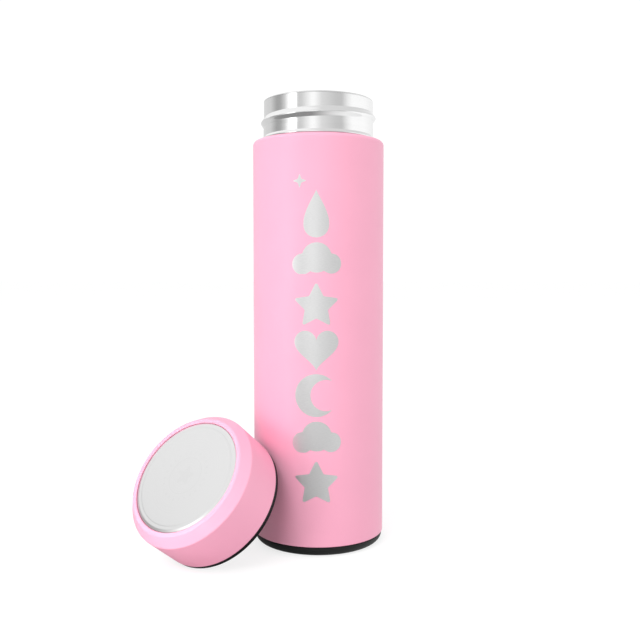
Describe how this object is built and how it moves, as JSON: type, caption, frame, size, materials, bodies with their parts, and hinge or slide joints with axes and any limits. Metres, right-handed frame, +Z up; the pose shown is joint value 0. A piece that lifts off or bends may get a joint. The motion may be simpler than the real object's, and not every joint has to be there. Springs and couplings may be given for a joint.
{
  "type": "insulated baby bottle",
  "caption": "Tall insulated steel baby bottle with a bare threaded neck, standing open beside its tilted screw lid.",
  "frame": {"origin": "centre of the foot's flat underside, on the flask's axis", "axes": "+Z up the flask's axis to the mouth, -Y to the front, with the lid at the front left"},
  "size_m": [0.116, 0.0977, 0.2126],
  "materials": {
    "pink_coat": "satin powder coat",
    "neck_steel": "polished stainless steel",
    "liner_steel": "electropolished stainless steel",
    "plate_steel": "mill-finish stainless steel",
    "foil": "bright foil",
    "seal_glass": "fused sealing bead",
    "getter": "sintered, dull grey",
    "foot_rubber": "matte moulded rubber",
    "adhesive": "pressure-sensitive film",
    "lid_pink": "satin coat on moulded plastic",
    "disc_steel": "spun stainless steel",
    "liner_plastic": "moulded polypropylene",
    "ring_rubber": "soft moulded ring",
    "plug_plastic": "moulded polypropylene",
    "foam": "closed-cell foam",
    "silicone": "translucent silicone"
  },
  "bodies": {
    "flask": {"outer_shell": "pink_coat", "threaded_neck": "neck_steel", "inner_flask": "liner_steel", "radiation_foil": "foil", "outer_bottom": "plate_steel", "vacuum_seal": "seal_glass", "getter_clip": "plate_steel", "getter_pellet": "getter", "base_pad": "foot_rubber", "pad_adhesive": "adhesive"},
    "seal": {"seal_ring": "silicone"},
    "lid": {"lid_shell": "lid_pink", "lid_disc": "disc_steel", "disc_adhesive": "adhesive", "lid_liner": "liner_plastic", "rim_ring": "ring_rubber", "plug_cup": "plug_plastic", "plug_foam": "foam", "plug_cover": "plug_plastic"}
  },
  "joints": [
    {"name": "lid_lift", "type": "slide", "parent": "flask", "child": "seal", "axis": [0, 0, 1], "range_m": [0, 0.25]},
    {"name": "lid_turn", "type": "hinge", "parent": "seal", "child": "lid", "pos_m": [-0.04587, -0.02734, 0.02504], "axis": [-0.4784, -0.6302, 0.6115], "continuous": true}
  ]
}
